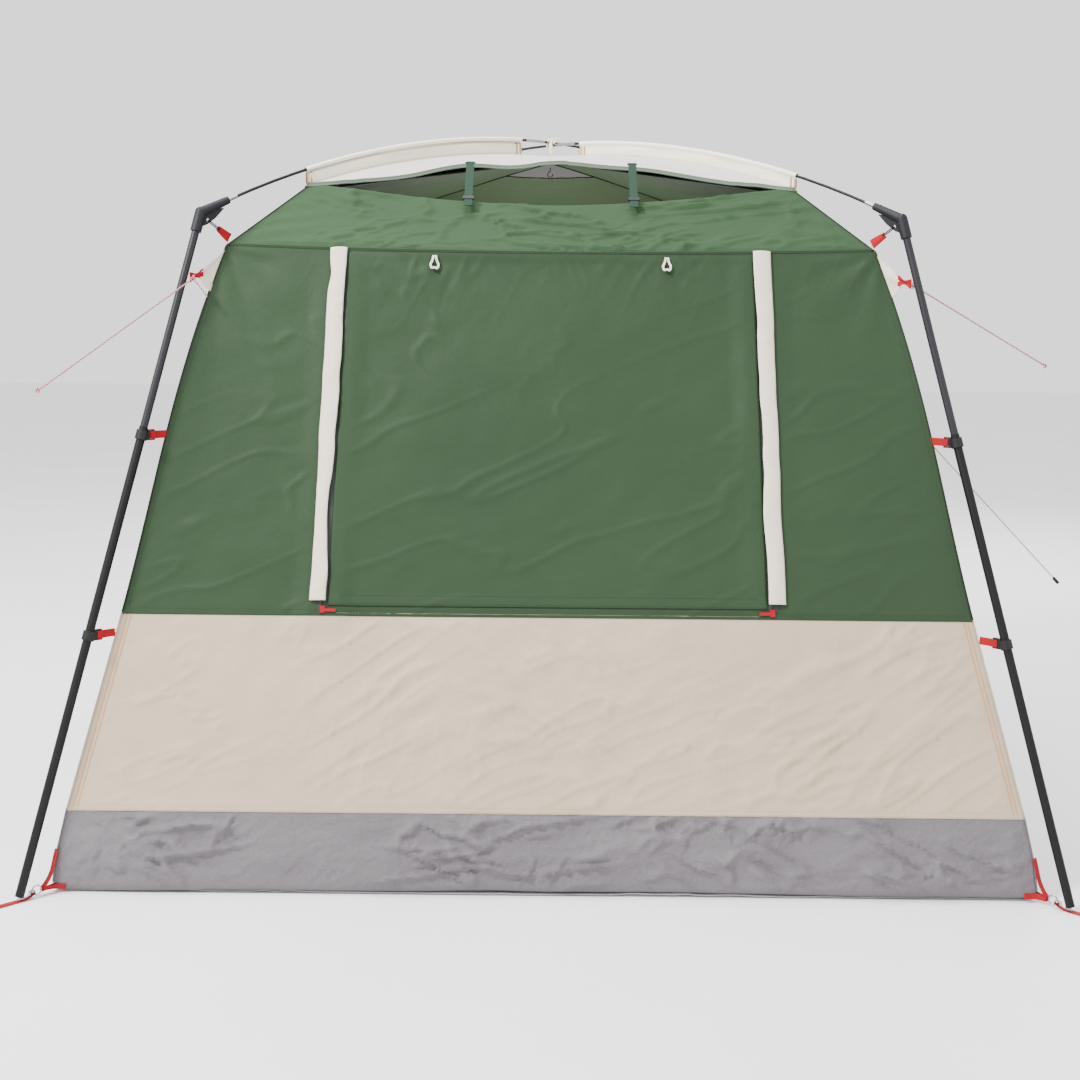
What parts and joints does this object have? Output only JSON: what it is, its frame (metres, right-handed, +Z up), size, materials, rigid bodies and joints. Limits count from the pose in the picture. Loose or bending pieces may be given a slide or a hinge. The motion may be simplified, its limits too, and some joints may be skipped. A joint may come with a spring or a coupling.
{
  "type": "dome tent",
  "caption": "Square dome tent on an outside frame, with telescoping legs, a roll-up window and door, storm flaps and a propped roof vent.",
  "frame": {"origin": "on the ground, under the crossing of the roof rods", "axes": "+Z up; -Y towards the window side; +X to the right of someone who faces the window"},
  "size_m": [3.4669, 2.7586, 2.012],
  "materials": {
    "elbow_plastic": "black moulded plastic, lightly grained",
    "upper_tube": "dark grey enamel with a sheen",
    "lower_tube": "matt black enamel",
    "rod": "black fibreglass",
    "ferrule": "satin",
    "steel": "plated wire",
    "red_webbing": "woven red polyester webbing",
    "sleeve_fabric": "cream polyester",
    "cream_fabric": "cream polyester taffeta",
    "flap_fabric": "cream polyester taffeta",
    "green_fabric": "green polyester taffeta",
    "slope_fabric": "green polyester taffeta in the light",
    "ceiling_fabric": "dark green polyester",
    "grey_fabric": "coated grey groundsheet",
    "black_mesh": "fine insect mesh",
    "grey_mesh": "fine grey mesh",
    "zip_black": "nylon coil",
    "strap_green": "dark green webbing",
    "black_trim": "black plastic",
    "elastic": "black shock cord",
    "guy_cord": "red and white braid"
  },
  "bodies": {
    "cabin": {"elbow_fl": "elbow_plastic", "elbow_fr": "elbow_plastic", "elbow_bl": "elbow_plastic", "elbow_br": "elbow_plastic", "leg_upper_fl": "upper_tube", "leg_upper_fr": "upper_tube", "leg_upper_bl": "upper_tube", "leg_upper_br": "upper_tube", "roof_rod_a": "rod", "roof_rod_b": "rod", "rod_ferrules": "ferrule", "apex_tie": "sleeve_fabric", "pole_sleeves": "sleeve_fabric", "foot_rings": "steel", "foot_pins": "steel", "corner_webbing": "red_webbing", "pole_clips": "elbow_plastic", "clip_straps": "red_webbing", "corner_tabs": "red_webbing", "corner_elastics": "elastic", "floor_sheet": "grey_fabric", "tub_walls": "grey_fabric", "cream_walls": "cream_fabric", "green_wall_front": "green_fabric", "green_wall_left": "green_fabric", "green_wall_right": "green_fabric", "green_wall_back": "green_fabric", "roof_slopes": "slope_fabric", "ceiling": "ceiling_fabric", "ceiling_mesh": "grey_mesh", "ceiling_piping": "black_trim", "roof_fly": "sleeve_fabric", "window_mesh": "black_mesh", "window_zips": "zip_black", "door_zips": "zip_black", "vent_straps": "strap_green", "guyout_patches": "flap_fabric", "guyout_tabs": "red_webbing", "guy_front_left": "guy_cord", "guy_front_right": "guy_cord", "guy_back_right": "guy_cord", "guy_tensioner": "black_trim"},
    "lower_leg_fl": {"leg_lower_fl": "lower_tube"},
    "lower_leg_fr": {"leg_lower_fr": "lower_tube"},
    "lower_leg_bl": {"leg_lower_bl": "lower_tube"},
    "lower_leg_br": {"leg_lower_br": "lower_tube"},
    "window": {"window_panel": "green_fabric", "window_toggles": "flap_fabric"},
    "flap_left": {"storm_flap_left": "flap_fabric"},
    "flap_right": {"storm_flap_right": "flap_fabric"},
    "window_slider_left": {"zip_slider_left": "red_webbing"},
    "window_slider_right": {"zip_slider_right": "red_webbing"},
    "door": {"door_panel": "green_fabric", "door_toggles": "flap_fabric"},
    "door_slider_body_left": {"door_slider_left": "red_webbing"},
    "door_slider_body_right": {"door_slider_right": "red_webbing"},
    "glide_left": {"strap_glide_left": "black_trim"},
    "glide_right": {"strap_glide_right": "black_trim"},
    "hook": {"lantern_hook": "black_trim"}
  },
  "joints": [
    {"name": "leg_slide_fl", "type": "slide", "parent": "cabin", "child": "lower_leg_fl", "axis": [0.2226, 0.2226, 0.9492], "range_m": [0, 0.48]},
    {"name": "leg_slide_fr", "type": "slide", "parent": "cabin", "child": "lower_leg_fr", "axis": [-0.2226, 0.2226, 0.9492], "range_m": [0, 0.48]},
    {"name": "leg_slide_bl", "type": "slide", "parent": "cabin", "child": "lower_leg_bl", "axis": [0.2226, -0.2226, 0.9492], "range_m": [0, 0.48]},
    {"name": "leg_slide_br", "type": "slide", "parent": "cabin", "child": "lower_leg_br", "axis": [-0.2226, -0.2226, 0.9492], "range_m": [0, 0.48]},
    {"name": "window_lift", "type": "hinge", "parent": "cabin", "child": "window", "pos_m": [0, -0.8572, 1.61767], "axis": [-1, 0, 0], "range_deg": [0, 80]},
    {"name": "flap_turn_left", "type": "hinge", "parent": "cabin", "child": "flap_left", "pos_m": [-0.59256, -0.97169, 1.20242], "axis": [-0.0339, -0.247, -0.9684], "range_deg": [0, 150]},
    {"name": "flap_turn_right", "type": "hinge", "parent": "cabin", "child": "flap_right", "pos_m": [0.59256, -0.97169, 1.20242], "axis": [-0.0339, 0.247, 0.9684], "range_deg": [0, 150]},
    {"name": "window_zip_left", "type": "slide", "parent": "cabin", "child": "window_slider_left", "axis": [0.0339, 0.247, 0.9684], "range_m": [0, 0.88]},
    {"name": "window_zip_right", "type": "slide", "parent": "cabin", "child": "window_slider_right", "axis": [-0.0339, 0.247, 0.9684], "range_m": [0, 0.88]},
    {"name": "door_lift", "type": "hinge", "parent": "cabin", "child": "door", "pos_m": [0, 0.85818, 1.61791], "axis": [1, 0, 0], "range_deg": [0, 85]},
    {"name": "door_zip_left", "type": "slide", "parent": "cabin", "child": "door_slider_body_left", "axis": [-0.0339, -0.2453, 0.9689], "range_m": [0, 1.36]},
    {"name": "door_zip_right", "type": "slide", "parent": "cabin", "child": "door_slider_body_right", "axis": [0.0339, -0.2453, 0.9689], "range_m": [0, 1.36]},
    {"name": "glide_slide_left", "type": "slide", "parent": "cabin", "child": "glide_left", "axis": [0, 0.7378, 0.675], "range_m": [0, 0.1]},
    {"name": "glide_slide_right", "type": "slide", "parent": "cabin", "child": "glide_right", "axis": [0, 0.7378, 0.675], "range_m": [0, 0.1]},
    {"name": "hook_swing", "type": "hinge", "parent": "cabin", "child": "hook", "pos_m": [0, 0, 1.919], "axis": [1, 0, 0], "range_deg": [-50, 50]}
  ]
}
